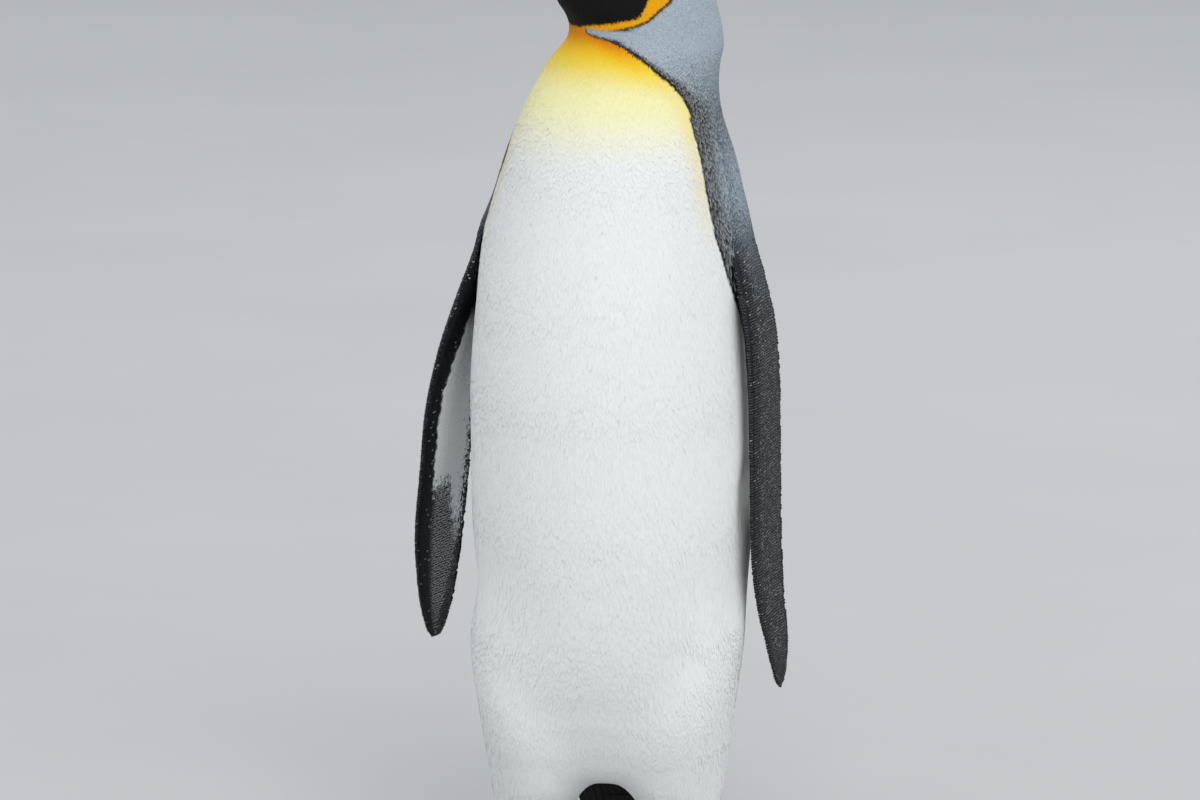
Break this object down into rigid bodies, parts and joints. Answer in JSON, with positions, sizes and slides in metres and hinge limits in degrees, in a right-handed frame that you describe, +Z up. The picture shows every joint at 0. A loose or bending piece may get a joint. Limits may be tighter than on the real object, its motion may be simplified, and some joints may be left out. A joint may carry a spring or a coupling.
{
  "type": "king penguin",
  "caption": "Life-size still model of a king penguin standing at ease, flippers hanging, head turned over its right shoulder.",
  "frame": {"origin": "on the floor, under the centre of the bounding box", "axes": "+Z up, -Y the way the breast faces, +X the bird's left"},
  "size_m": [0.2846, 0.287, 0.7961],
  "materials": {
    "feather_black": "short dense glossy black feathers",
    "feather_grey": "silver-grey scale-like feathers",
    "feather_white": "silky white feathers",
    "flipper_feather": "tiny stiff scale-like feathers",
    "tail_feather": "long stiff dark feathers",
    "horn_black": "dark horn",
    "horn_orange": "dark horn with an orange plate",
    "eye": "wet, dark brown",
    "foot_skin": "dark scaly skin"
  },
  "bodies": {
    "root": {"head": "feather_black", "neck": "feather_grey", "trunk": "feather_white", "tail": "tail_feather", "bill_upper": "horn_black", "bill_lower": "horn_orange", "eye_left": "eye", "flipper_left": "flipper_feather", "leg_left": "feather_white", "foot_left": "foot_skin", "claw_inner_left": "horn_black", "claw_middle_left": "horn_black", "claw_outer_left": "horn_black", "eye_right": "eye", "flipper_right": "flipper_feather", "leg_right": "feather_white", "foot_right": "foot_skin", "claw_inner_right": "horn_black", "claw_middle_right": "horn_black", "claw_outer_right": "horn_black"}
  },
  "joints": []
}
